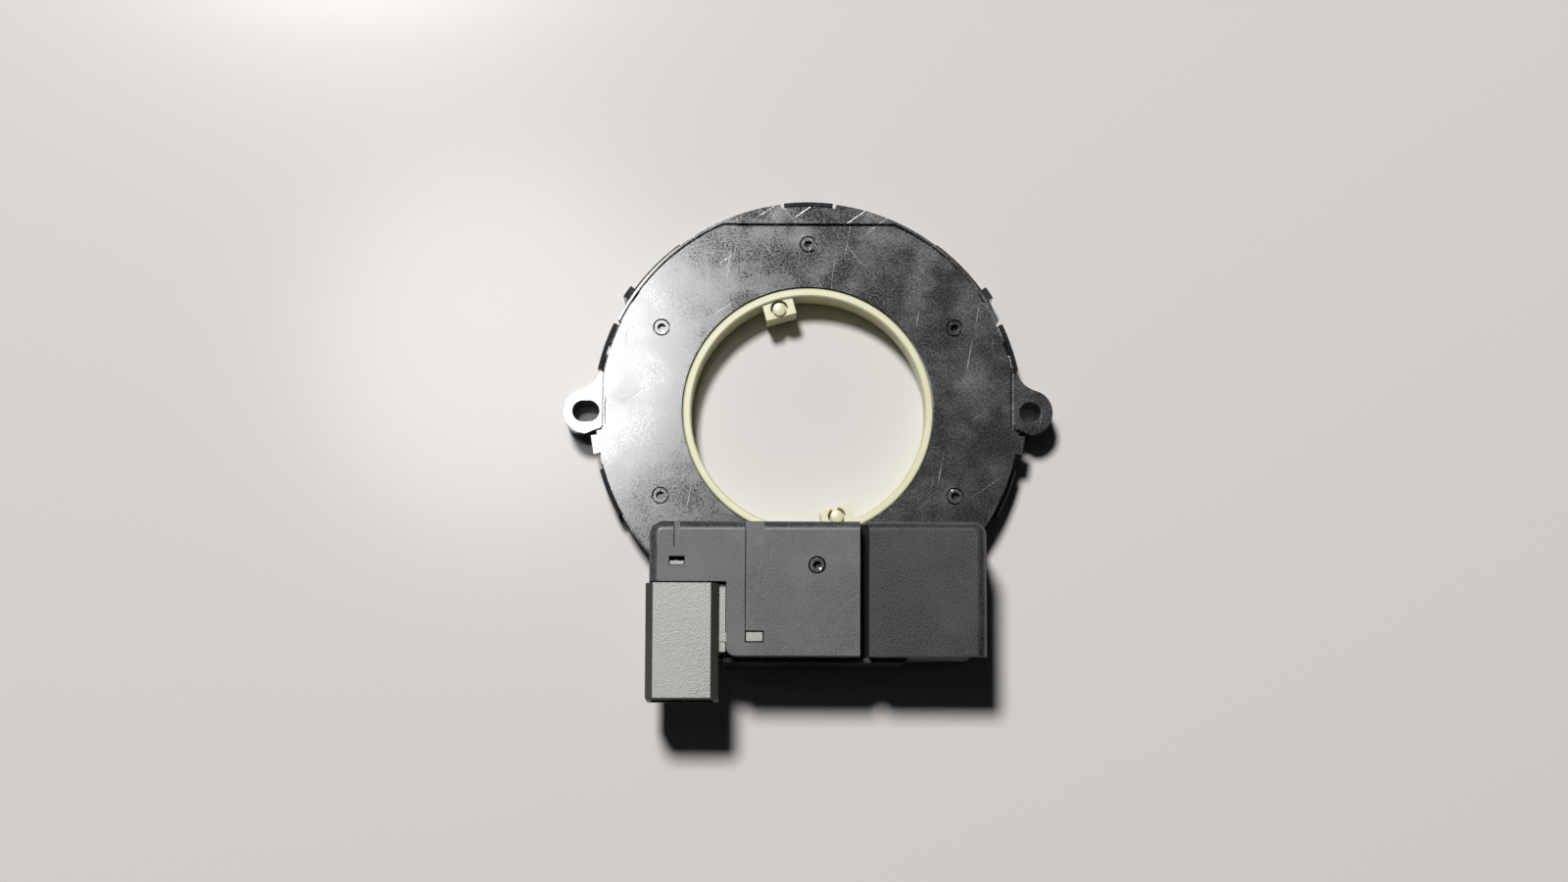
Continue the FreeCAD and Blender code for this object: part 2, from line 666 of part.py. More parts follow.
# Top cover: ring plate and the hood over the electronics
cover = new_body("top_cover")
open_r = v.rotor_r + v.open_gap
turned(cover, "ring_plate", [
    (open_r - 2, seat_z), (v.cover_r, seat_z), (v.cover_r, v.cover_top),
    (open_r - 2, v.cover_top)])
turned(cover, "low_flange", [
    (v.cover_r - 1, seat_z), (v.cover_low_r, seat_z), (v.cover_low_r, v.cover_top),
    (v.cover_r - 1, v.cover_top)], middle=-90, sweep=166.8)
for side, middle in (("right", -9), ("left", -171)):
    turned(cover, f"{side}_tab", [
        (v.cover_r - 1, seat_z), (v.tab_r, seat_z), (v.tab_r, v.cover_top),
        (v.cover_r - 1, v.cover_top)], middle=middle, sweep=5)
nook_r = 2.0
for side, word in ((1, "right"), (-1, "left")):
    flat = v.cover_flat_x
    upright(cover, f"{word}_flat", seat_z - 1, v.cover_top + 1, [[
        (side * flat, 30), (side * flat, v.cover_step_y + nook_r, nook_r, side),
        (side * (flat + nook_r), v.cover_step_y), (side * 60, v.cover_step_y),
        (side * 60, 30)]], cut=True)
upright(cover, "top_chord", seat_z - 1, v.cover_top + 1,
        [rectangle(-40, v.cover_chord_y, 40, 60)], cut=True)
upright(cover, "hood_walls", seat_z, v.corner_cut_top, [tray()])
upright(cover, "hood_lid", v.corner_cut_top - 1, v.box_top,
        [rectangle(v.box_left, v.box_front, v.box_right, v.box_back)])


def along(edge, **held):
    """Whether both ends of an edge have the given coordinates, within 0.01."""
    ends = [p.Point for p in edge.Vertexes]
    if len(ends) < 2:
        return False
    return all(abs(getattr(p, axis) - value.value) < 0.01
               for p in ends for axis, value in held.items())


rounded(cover, "hood_corners", v.box_corner, lambda e: (
    e.BoundBox.ZMax > v.cover_top.value + 5
    and (along(e, x=v.box_left, y=v.box_back) or along(e, x=v.box_right, y=v.box_back))))
rounded(cover, "hood_edges", v.box_edge, lambda e: (
    along(e, z=v.box_top) and not along(e, y=v.box_front)))
turned(cover, "cover_bore", [
    (0, 0), (open_r, 0), (open_r, v.cover_top), (0, v.cover_top)], cut=True)
upright(cover, "stake_holes", seat_z - 1, v.cover_top + 1,
        circles=[(x, y, v.stake_r + v.stake_gap) for x, y in stake_places()], cut=True)

# Inside of the hood, stepped under the connector and split by the groove's walls
low_ceiling = step_z - v.shell_wall
cut_x = inner_right - v.corner_cut_x
cut_y = inner_front + v.corner_cut_y
upright(cover, "board_room", 0, v.cover_top + 0.5, [[
    (inner_left, inner_front), (cut_x, inner_front), (inner_right, cut_y),
    (inner_right, v.board_back + v.board_gap), (inner_left, v.board_back + v.board_gap)]],
    cut=True)
upright(cover, "low_room", v.cover_top, low_ceiling, [[
    (inner_left, inner_front), (cut_x, inner_front), (inner_right, cut_y),
    (inner_right, inner_back), (inner_left, inner_back)]], cut=True)
wall_x = step_x + v.shell_wall
wall_y = step_y + v.shell_wall
split_floor = v.box_top - v.split_deep
split_left = v.split_x - v.shell_wall * 0.75
split_right = v.split_x + v.split_width + v.shell_wall * 0.75
upright(cover, "middle_room", low_ceiling - 0.5, split_floor - v.shell_wall, [[
    (wall_x, inner_front), (cut_x, inner_front), (inner_right, cut_y),
    (inner_right, inner_back), (inner_left, inner_back), (inner_left, wall_y),
    (wall_x, wall_y)]], cut=True)
upright(cover, "left_room", split_floor - v.shell_wall - 0.5, box_ceiling, [[
    (wall_x, inner_front), (split_left, inner_front), (split_left, inner_back),
    (inner_left, inner_back), (inner_left, wall_y), (wall_x, wall_y)]], cut=True)
upright(cover, "right_room", split_floor - v.shell_wall - 0.5, box_ceiling, [[
    (split_right, inner_front), (cut_x, inner_front), (inner_right, cut_y),
    (inner_right, inner_back), (split_right, inner_back)]], cut=True)

# Step for the connector, groove, latch channels and windows in the hood
beyond = 3
upright(cover, "connector_step", step_z, v.box_top + 1, [
    rectangle(v.box_left - beyond, v.box_front - beyond, step_x, step_y)], cut=True)
upright(cover, "split_groove", split_floor, v.box_top + 1, [
    rectangle(v.split_x, v.box_front - beyond, v.split_x + v.split_width, v.box_back + beyond)],
    cut=True)
upright(cover, "latch_channel", v.box_top - v.channel_deep, v.box_top + 1, [
    rectangle(v.channel_x, v.channel_end - v.channel_window,
              v.channel_x + v.channel_width, v.box_back + beyond)], cut=True)
upright(cover, "latch_window", box_ceiling - 1, v.box_top + 1, [
    rectangle(v.channel_x, v.channel_end - v.channel_window,
              v.channel_x + v.channel_width, v.channel_end)], cut=True)
upright(cover, "small_channel", v.box_top - v.channel_deep, v.box_top + 1, [
    rectangle(v.keyway_x, v.keyway_end, v.keyway_x + v.keyway_width, v.box_back + beyond)],
    cut=True)
upright(cover, "small_window", box_ceiling - 1, v.box_top + 1, [
    rectangle(v.eyelet_x, v.eyelet_y - v.eyelet_deep, v.eyelet_x + v.eyelet_width, v.eyelet_y)],
    cut=True)
upright(cover, "pillar_hole", box_ceiling - 1, v.box_top + 1,
        circles=[(v.pillar_x, v.pillar_y, v.stake_r + v.stake_gap)], cut=True)

# Connector's rear block and its side latch reach through the step's walls
rear_left = v.socket_left + v.block_inset
rear_right = v.socket_right - v.block_inset
rear_low = v.socket_low + 1.6
rear_high = v.socket_top - 2.8
rear_end = wall_y + 0.6
arm_back = v.channel_end - 0.4
arm_front = v.channel_end - v.channel_window + 0.4
arm_low = rear_high - 1.5
arm_high = rear_high - 0.2
rounded(cover, "step_corner", nook_r, lambda e: (
    along(e, x=step_x, y=v.box_front) and e.BoundBox.ZMax > v.box_top.value - 1))
across(cover, "connector_door", -(wall_y + 1), -(step_y - 1), [
    rectangle(rear_left - v.seam, rear_low - v.seam, rear_right + v.seam, rear_high + v.seam)],
    cut=True)
across(cover, "latch_door", step_x - 1, wall_x + 1, [
    rectangle(arm_front - v.seam, arm_low - v.seam, arm_back + v.seam, arm_high + v.seam)],
    role="YZ_Plane", cut=True)

# Connector: moulded socket with eight terminals, its mouth away from the ring
socket = new_body("connector_housing")
bevel = v.socket_bevel
across(socket, "socket_shell", -v.socket_back, -v.socket_mouth, [[
    (v.socket_left, v.socket_low), (v.socket_right, v.socket_low),
    (v.socket_right, v.socket_top - bevel), (v.socket_right - bevel, v.socket_top),
    (v.socket_left + bevel, v.socket_top), (v.socket_left, v.socket_top - bevel)]])
rounded(socket, "mouth_edges", 0.5, lambda e: along(e, y=v.socket_mouth))
across(socket, "rear_block", -(rear_end + v.seam), -(v.socket_back - 1), [
    rectangle(rear_left, rear_low, rear_right, rear_high)])
hole_left = v.socket_left + v.socket_wall
hole_right = v.socket_right - v.socket_wall
hole_low = v.socket_low + v.socket_wall
hole_high = v.socket_top - v.socket_wall - 0.6
across(socket, "socket_room", -v.socket_floor, -(v.socket_mouth - 1), [
    rectangle(hole_left, hole_low, hole_right, hole_high)], cut=True)
across(socket, "latch_room", -(v.socket_mouth + 9), -(v.socket_mouth - 1), [
    rectangle(hole_right - 9.6, hole_high - 0.5, hole_right - 1.2, hole_high + 0.9)], cut=True)
across(socket, "back_room", -(rear_end + 1), -(v.socket_floor + 3.4), [
    rectangle(rear_left + v.socket_wall, rear_low + v.socket_wall,
              rear_right - v.socket_wall, rear_high - v.socket_wall)], cut=True)
upright(socket, "side_flange", v.socket_low + 0.5, v.flange_top, [
    rectangle(v.socket_right - 0.1, v.box_front + 1, step_x - v.seam, v.socket_back - 0.2)])
upright(socket, "latch_arm", arm_low, arm_high, [
    rectangle(v.socket_right - 0.6, arm_front, v.channel_x + v.channel_width - 0.3, arm_back)])
upright(socket, "latch_hook", arm_high - 0.4, v.box_top - v.channel_deep + 0.1, [
    rectangle(v.channel_x + 0.3, arm_front, v.channel_x + v.channel_width - 0.3, arm_back)])
upright(socket, "back_tongue", arm_low, rear_high - 0.1, [
    rectangle(v.eyelet_x + 0.2, rear_end - 0.5, v.eyelet_x + v.eyelet_width - 0.2,
              v.eyelet_y - v.eyelet_deep / 2)])
upright(socket, "back_hook", arm_high - 0.4, v.box_top - 0.8, [
    rectangle(v.eyelet_x + 0.2, v.eyelet_y - v.eyelet_deep + 0.2,
              v.eyelet_x + v.eyelet_width - 0.2, v.eyelet_y - v.eyelet_deep / 2)])

half_pin = v.terminal / 2
row_z = [(hole_low + hole_high) / 2 - v.terminal_rows / 2,
         (hole_low + hole_high) / 2 + v.terminal_rows / 2]
terminal_x = [(hole_left + hole_right) / 2 + v.terminal_pitch * (i - (TERMINALS - 1) / 2)
              for i in range(TERMINALS)]
row_foot = [v.terminal_foot, v.terminal_foot + 2.3]
across(socket, "terminal_holes", -(v.socket_floor + 4.4), -(v.socket_floor - 1), [
    rectangle(x - half_pin, z - half_pin, x + half_pin, z + half_pin)
    for z in row_z for x in terminal_x], cut=True)


def involute(angle):
    return math.tan(angle) - angle


def tooth_outline(teeth, phase):
    """Closed outline of a spur gear about the origin, with a tooth centred on
    the direction phase, in degrees. The flanks are arcs on the involute."""
    module = v.tooth_module.value
    pitch_r = module * teeth / 2
    base_r = pitch_r * math.cos(math.radians(PRESSURE_ANGLE))
    tip_r = pitch_r + module * ADDENDUM
    low_r = pitch_r - module * DEDENDUM
    start_r = max(low_r, base_r)
    thick = math.pi * module / 2 - v.backlash.value / 2
    at_pitch = thick / 2 / pitch_r + involute(math.radians(PRESSURE_ANGLE))

    def flank(radius, middle, side):
        half = at_pitch - involute(math.acos(min(1.0, base_r / radius)))
        angle = middle + side * half
        return Vector(radius * math.cos(angle), radius * math.sin(angle), 0)

    edges = []
    corner = None
    first = None
    for k in range(teeth):
        middle = math.radians(phase) + 2 * math.pi * k / teeth
        rising = [flank(r, middle, -1) for r in (start_r, (start_r + tip_r) / 2, tip_r)]
        falling = [flank(r, middle, 1) for r in (tip_r, (start_r + tip_r) / 2, start_r)]
        foot_in = Vector(rising[0]).normalize() * low_r
        foot_out = Vector(falling[2]).normalize() * low_r
        if corner is not None:
            edges.append(Part.LineSegment(corner, foot_in).toShape())
        else:
            first = foot_in
        if low_r < start_r - 1e-6:
            edges.append(Part.LineSegment(foot_in, rising[0]).toShape())
        edges.append(Part.Arc(*rising).toShape())
        edges.append(Part.LineSegment(rising[2], falling[0]).toShape())
        edges.append(Part.Arc(*falling).toShape())
        if low_r < start_r - 1e-6:
            edges.append(Part.LineSegment(falling[2], foot_out).toShape())
        corner = foot_out
    edges.append(Part.LineSegment(corner, first).toShape())
    return Part.Wire(Part.__sortEdges__(edges))


def toothed_disc(name, teeth, phase, x=0, y=0):
    """A toothed disc of the gears' face width, centred on x, y."""
    disc = doc.addObject("Part::Feature", name)
    face = Part.Face(tooth_outline(teeth, phase))
    disc.Shape = face.extrude(Vector(0, 0, v.gear_face.value))
    place(disc, x, y, v.gear_z)
    return disc


# Rotor: nylon tube with the large gear and the two driving lugs
tube = new_body("rotor_tube")
tube_in = v.rotor_r - v.rotor_wall
ease = 0.35
turned(tube, "tube", [
    (tube_in, v.rotor_low), (v.rotor_r, v.rotor_low), (v.rotor_r, v.rotor_top - ease),
    (v.rotor_r - ease, v.rotor_top), (tube_in + ease, v.rotor_top),
    (tube_in, v.rotor_top - ease)])
turned(tube, "gear_web", [
    (v.rotor_r - 1, v.gear_z), (root_r - 1, v.gear_z), (root_r - 1, v.gear_z + v.gear_face),
    (v.rotor_r - 1, v.gear_z + v.gear_face)])
disc = toothed_disc("rotor_disc", ROTOR_TEETH, 0)
disc_bore = cylinder("rotor_disc_bore", 0, 0, v.gear_z - 1, v.rotor_r - 0.5, v.gear_face + 2)
ring_gear = less("rotor_gear", disc, [disc_bore])
lugs = []
recesses = []
lug_top = v.rotor_top - v.lug_drop
for i in range(2):
    facing = v.lug_angle + 180 * i
    out_x, out_y = cosine(facing), sine(facing)
    half_lug = v.lug_width / 2
    lugs.append(box(f"lug_{i}", v.lug_in * out_x + half_lug * out_y,
                    v.lug_in * out_y - half_lug * out_x, v.rotor_low + 0.4,
                    tube_in + v.rotor_wall / 2 - v.lug_in, v.lug_width,
                    lug_top - v.rotor_low - 0.4, facing))
    recess_r = (v.lug_in + tube_in) / 2
    recesses.append(cylinder(f"lug_recess_{i}", recess_r * out_x, recess_r * out_y,
                             lug_top - v.lug_deep, v.lug_bore, v.lug_deep + 1))
rotor = less("rotor", joined("rotor_solid", [tube, ring_gear] + lugs), recesses)


def magnet_gear(letter, teeth, centre, angle):
    """A gear that turns on a pin of the rear cover, with its magnet on top."""
    phase = angle.value * (1 + ROTOR_TEETH / teeth) + 180 + 180 / teeth
    x, y = centre
    pocket_z = v.hub_top - v.magnet_deep
    wheel = toothed_disc(f"gear_{letter}_disc", teeth, phase, x, y)
    hub = cylinder(f"gear_{letter}_hub", x, y, v.gear_z, v.hub_r, v.hub_top - v.gear_z)
    bore = cylinder(f"gear_{letter}_bore", x, y, v.gear_z - 1, v.pin_r + v.pin_gap,
                    pocket_z - 0.5 - v.gear_z + 1)
    pocket = cylinder(f"gear_{letter}_pocket", x, y, pocket_z, v.magnet_r, v.magnet_deep + 1)
    blank = joined(f"gear_{letter}_blank", [wheel, hub])
    gear = less(f"detecting_gear_{letter}", blank, [bore, pocket])
    magnet = cylinder(f"magnet_{letter}", x, y, pocket_z, v.magnet_r, v.magnet_deep)
    return [gear, magnet]


gears = magnet_gear("a", GEAR_A_TEETH, gear_a, v.gear_a_angle)
gears += magnet_gear("b", GEAR_B_TEETH, gear_b, v.gear_b_angle)

# Circuit board, with its holes for the terminals, the pillar and the screws
board = new_body("circuit_board")
gap = v.board_gap
upright(board, "board_plate", v.board_z, board_top, [[
    (inner_left + gap, inner_front + gap), (cut_x - gap, inner_front + gap),
    (inner_right - gap, cut_y + gap), (inner_right - gap, v.board_back),
    (inner_left + gap, v.board_back)]])
upright(board, "board_holes", v.board_z - 1, board_top + 1, circles=(
    [(v.pillar_x, v.pillar_y, v.stake_r + v.stake_gap)]
    + [(x, y, v.screw_r + 0.1) for x, y in boss_places]
    + [(x, y, v.terminal * 0.9) for y in row_foot for x in terminal_x]), cut=True)

# Terminals: straight blades that turn down to the board behind the socket
terminals = []
for row, (z, foot) in enumerate(zip(row_z, row_foot)):
    for i, x in enumerate(terminal_x):
        left = x - half_pin
        blade = box(f"blade_{row}_{i}", left, v.terminal_tip, z - half_pin,
                    v.terminal, foot + half_pin - v.terminal_tip, v.terminal)
        leg = box(f"leg_{row}_{i}", left, foot - half_pin, v.board_z - 0.8,
                  v.terminal, v.terminal, z + half_pin - v.board_z + 0.8)
        terminals.append(joined(f"terminal_{row}_{i}", [blade, leg]))
pins = grouped("connector_pins", terminals)


def chip(name, x, y, width, length, leads, sides=2, under=False):
    """A moulded chip on the board with leads on two or four sides. The leads
    run along its length, and one that hangs under the board is turned over."""
    part = new_body(name)
    half_w, half_l = size(width) / 2, size(length) / 2
    stand = 0.1
    upright(part, name + "_block", stand, v.chip_thick + stand,
            [rectangle(-half_w, -half_l, half_w, half_l)])
    pitch = 1.27 if sides == 2 else 1.0
    for side, word in ((-1, "low"), (1, "high")):
        rows = {"across": [], "along": []}
        for i in range(leads):
            along_side = pitch * (i - (leads - 1) / 2)
            low = along_side - v.lead / 2
            high = along_side + v.lead / 2
            near = side * (half_w - 0.1)
            far = side * (half_w + 0.9)
            edges = (near, far) if side > 0 else (far, near)
            rows["across"].append(rectangle(edges[0], low, edges[1], high))
            if sides == 4:
                rows["along"].append(rectangle(low, edges[0], high, edges[1]))
        for way, feet in rows.items():
            if feet:
                upright(part, f"{name}_leads_{way}_{word}", 0, v.chip_thick * 0.55, feet)
    tip = Rotation(Vector(1, 0, 0), 180 if under else 0)
    part.Placement = Placement(Vector(0, 0, 0), tip)
    bind(part, "Placement.Base.x", x)
    bind(part, "Placement.Base.y", y)
    bind(part, "Placement.Base.z", v.board_z if under else board_top)
    return part


small = (v.chip_width, v.chip_length)
chips = [
    chip("angle_chip_a", gear_a[0], gear_a[1], *small, 4, under=True),
    chip("angle_chip_b", gear_b[0], gear_b[1], *small, 4, under=True),
    chip("microcontroller", -5, -50.7, v.processor_width, v.processor_width, 8, sides=4),
    chip("bus_transceiver", -23.5, -50.7, *small, 4),
    chip("voltage_regulator", 18.5, -41.7, v.chip_width * 1.4, v.chip_length * 1.2, 4),
    chip("memory_chip", 7.5, -54.7, *small, 4),
]

# Larger and smaller parts soldered on the board
crystal = box("crystal", -16, -43, board_top, 3.2, 5, 1.2)
can_base = box("can_base", 24.5, -53.2, board_top, v.can_r * 2 + 1, v.can_r * 2 + 1, 1.2)
can_x = 24.5 + v.can_r + 0.5
can_y = -53.2 + v.can_r + 0.5
can = cylinder("can", can_x, can_y, board_top, v.can_r, v.can_height)
can_groove = cylinder("can_neck", can_x, can_y, board_top + 2, v.can_r + 1, 0.8)
can_neck = cylinder("can_core", can_x, can_y, board_top, v.can_r - 0.4, v.can_height)
can_ring = less("can_ring", can_groove, [can_neck])
buffer_can = less("buffer_capacitor", joined("can_solid", [can_base, can]), [can_ring])
choke_block = box("choke_block", 14, -57.2, board_top, v.choke_width, v.choke_width,
                  v.choke_height)
choke_hole = cylinder("choke_hole", 14 + v.choke_width / 2, -57.2 + v.choke_width / 2,
                      board_top + v.choke_height - 1, v.choke_width * 0.36, 2)
choke = less("choke", choke_block, [choke_hole])


def row_of_parts(name, places, length, width, height):
    """Like small parts with two end caps, as one group of separate solids."""
    parts = []
    for i, (x, y) in enumerate(places):
        middle = box(f"{name}_{i}_body", x, y, board_top, length, width, height * 0.92)
        cap_low = box(f"{name}_{i}_low", x, y, board_top, length * 0.2, width, height)
        cap_high = box(f"{name}_{i}_high", x + length * 0.8, y, board_top,
                       length * 0.2, width, height)
        parts.append(joined(f"{name}_{i}", [middle, cap_low, cap_high]))
    return grouped(name, parts)


ceramic = row_of_parts("ceramic_capacitors", [
    (-13.8, -58.2), (-9, -58.2), (-4.2, -58.2), (0.6, -58.2), (-27.5, -45.7),
    (-22, -45.7), (9, -48.7), (9, -45.7)], v.chip_part, v.chip_part * 0.6, v.chip_part * 0.5)
resistors = row_of_parts("resistors", [
    (-17, -54.7), (-17, -52.2), (-17, -49.7), (3.5, -50.7), (3.5, -48.2), (13, -48.2),
    (16, -48.2), (-7, -41.7)], v.chip_part, v.chip_part * 0.6, v.chip_part * 0.25)

screws = []
for i, (x, y) in enumerate(boss_places):
    shank = cylinder(f"shank_{i}", x, y, board_top - v.screw_length, v.screw_r,
                     v.screw_length + 0.2)
    head = cylinder(f"head_{i}", x, y, board_top, v.screw_head_r, v.screw_head_r * 0.6)
    slot = box(f"slot_{i}", x - v.screw_head_r, y - 0.3, board_top + v.screw_head_r * 0.35,
               v.screw_head_r * 2, 0.6, 2)
    screws.append(less(f"screw_{i}", joined(f"screw_{i}_blank", [shank, head]), [slot]))
board_screws = grouped("board_screws", screws)

kept = [case, rear, cover, socket, rotor, *gears, board, pins, *chips, crystal,
        buffer_can, choke, ceramic, resistors, board_screws]

doc.recompute()
for thing in doc.Objects:
    if "Invalid" in thing.State or "Error" in thing.State:
        raise RuntimeError(f"{thing.Label} failed: {thing.State}")
for thing in kept:
    if thing.Shape.isNull() or not thing.Shape.isValid():
        raise RuntimeError(f"{thing.Label} has no valid shape")

os.makedirs("parts", exist_ok=True)
for thing in kept:
    thing.Shape.exportStep(f"parts/{thing.Label}.step")
print("pieces:", len(kept))
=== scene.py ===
import json
import logging
import math
from dataclasses import dataclass, field
from enum import Enum
from typing import Callable, Iterable, Optional

import bpy
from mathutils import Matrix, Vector

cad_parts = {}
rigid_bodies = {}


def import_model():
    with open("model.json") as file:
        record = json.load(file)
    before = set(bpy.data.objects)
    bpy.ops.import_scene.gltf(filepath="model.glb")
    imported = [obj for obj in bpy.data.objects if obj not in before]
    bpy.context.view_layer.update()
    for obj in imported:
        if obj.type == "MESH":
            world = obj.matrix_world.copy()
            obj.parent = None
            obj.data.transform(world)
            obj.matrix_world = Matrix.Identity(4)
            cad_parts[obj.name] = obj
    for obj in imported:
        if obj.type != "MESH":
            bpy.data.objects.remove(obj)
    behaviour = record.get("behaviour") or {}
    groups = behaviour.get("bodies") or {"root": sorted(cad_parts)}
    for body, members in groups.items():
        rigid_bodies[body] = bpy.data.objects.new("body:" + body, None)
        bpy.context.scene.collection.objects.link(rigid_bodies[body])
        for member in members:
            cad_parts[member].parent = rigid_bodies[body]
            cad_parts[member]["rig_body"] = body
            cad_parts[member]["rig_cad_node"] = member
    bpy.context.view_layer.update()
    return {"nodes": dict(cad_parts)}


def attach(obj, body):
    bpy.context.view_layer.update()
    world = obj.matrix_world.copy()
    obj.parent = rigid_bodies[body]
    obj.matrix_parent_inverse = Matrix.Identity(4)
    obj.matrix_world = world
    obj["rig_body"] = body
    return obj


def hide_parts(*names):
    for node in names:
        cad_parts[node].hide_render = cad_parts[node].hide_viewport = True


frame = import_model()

LOG = logging.getLogger("steering_angle_sensor")
MM = 0.001
# Faces that meet at less than these angles are shaded as one round face
PIECE_SMOOTH_ANGLE = math.radians(36)
NODE_SMOOTH_ANGLE = math.radians(24)


class Grain(Enum):
    """How the mould behind a plastic face was finished."""

    POLISHED = "polished"
    SATIN = "satin"
    SPARKED = "sparked"


class Body(Enum):
    """The rigid bodies of the part, by their names in the record."""

    HOUSING = "housing"
    ROTOR = "rotor"
    GEAR_A = "gear_a"
    GEAR_B = "gear_b"


def linear_colour(code: str) -> tuple[float, float, float, float]:
    """Turns an sRGB hex colour into the linear values that a shader takes.

    Args:
        code: The colour as "#rrggbb".

    Returns:
        Red, green, blue and an alpha of 1.
    """
    parts = [int(code[i:i + 2], 16) / 255 for i in (1, 3, 5)]
    red, green, blue = (
        p / 12.92 if p <= 0.04045 else ((p + 0.055) / 1.055) ** 2.4 for p in parts)
    return red, green, blue, 1.0


def add_node(tree: bpy.types.NodeTree, kind: str, settings: Optional[dict] = None,
             **inputs: object) -> bpy.types.Node:
    """Adds a shader node with its settings, values and links.

    Args:
        tree: The node tree that gets the node.
        kind: The node's type name in Blender.
        settings: Properties of the node, by name.
        inputs: A value or an output socket for each input. The name is the
            socket's with underscores for spaces, or "n" and its number.

    Returns:
        The new node.
    """
    node = tree.nodes.new(kind)
    for name, value in (settings or {}).items():
        setattr(node, name, value)
    for name, value in inputs.items():
        if name[0] == "n" and name[1:].isdigit():
            socket = node.inputs[int(name[1:])]
        else:
            socket = node.inputs[name.replace("_", " ")]
        if isinstance(value, bpy.types.NodeSocket):
            tree.links.new(value, socket)
        else:
            socket.default_value = value
    return node


def new_material(name: str) -> tuple[bpy.types.Material, bpy.types.Node]:
    """Makes an empty node material.

    Args:
        name: The material's name.

    Returns:
        The material and its principled shader, which is on the output.
    """
    material = bpy.data.materials.new(name)
    material.use_nodes = True
    tree = material.node_tree
    tree.nodes.clear()
    shader = add_node(tree, "ShaderNodeBsdfPrincipled")
    add_node(tree, "ShaderNodeOutputMaterial", Surface=shader.outputs[0])
    return material, shader


